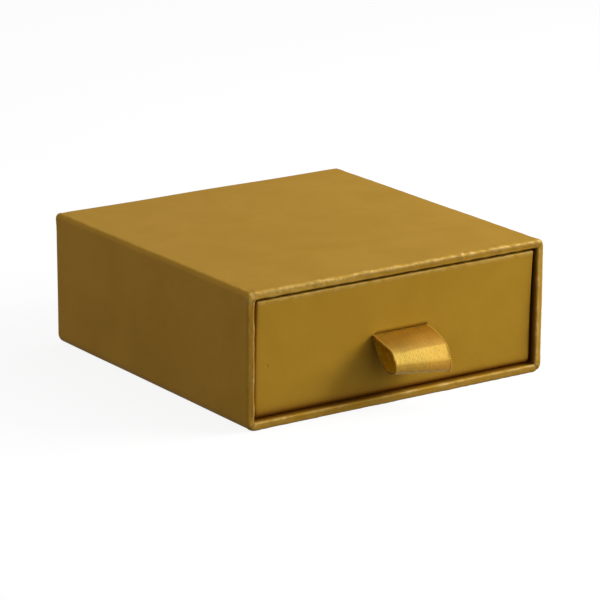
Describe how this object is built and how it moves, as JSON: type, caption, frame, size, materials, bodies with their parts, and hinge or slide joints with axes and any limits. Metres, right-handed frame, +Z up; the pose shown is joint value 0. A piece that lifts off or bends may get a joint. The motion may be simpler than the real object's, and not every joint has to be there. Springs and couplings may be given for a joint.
{
  "type": "sliding drawer gift box",
  "caption": "Square sliding drawer gift box: a paper-wrapped board sleeve with a tray drawer that a folded satin ribbon loop pulls out of the front.",
  "frame": {"origin": "centre of the sleeve's underside, on the surface that the box stands on", "axes": "+Z up, -Y out of the front where the drawer and its ribbon come out, +X to the right seen from the front"},
  "size_m": [0.09, 0.1, 0.035],
  "materials": {
    "greyboard": "uncoated grey-brown board",
    "gold_paper": "antique gold paper with a soft metallic sheen and a fine grain",
    "lining_paper": "plain ivory uncoated paper",
    "kraft_tape": "gummed kraft paper",
    "satin_ribbon": "gold satin weave with a thick selvedge"
  },
  "bodies": {
    "sleeve": {"sleeve_top_board": "greyboard", "sleeve_bottom_board": "greyboard", "sleeve_left_board": "greyboard", "sleeve_right_board": "greyboard", "sleeve_back_board": "greyboard", "sleeve_corner_tapes": "kraft_tape", "sleeve_wrap": "gold_paper", "sleeve_back_paper": "gold_paper", "sleeve_lining": "lining_paper", "sleeve_back_lining": "lining_paper"},
    "drawer": {"drawer_front_board": "greyboard", "drawer_right_board": "greyboard", "drawer_back_board": "greyboard", "drawer_left_board": "greyboard", "drawer_floor_board": "greyboard", "drawer_corner_tapes": "kraft_tape", "drawer_wrap": "gold_paper", "drawer_wall_lining": "lining_paper", "drawer_floor_lining": "lining_paper", "ribbon_pull": "satin_ribbon", "ribbon_anchor_patch": "lining_paper"}
  },
  "joints": [
    {"name": "drawer_slide", "type": "slide", "parent": "sleeve", "child": "drawer", "axis": [0, -1, 0], "range_m": [0, 0.0875]}
  ]
}
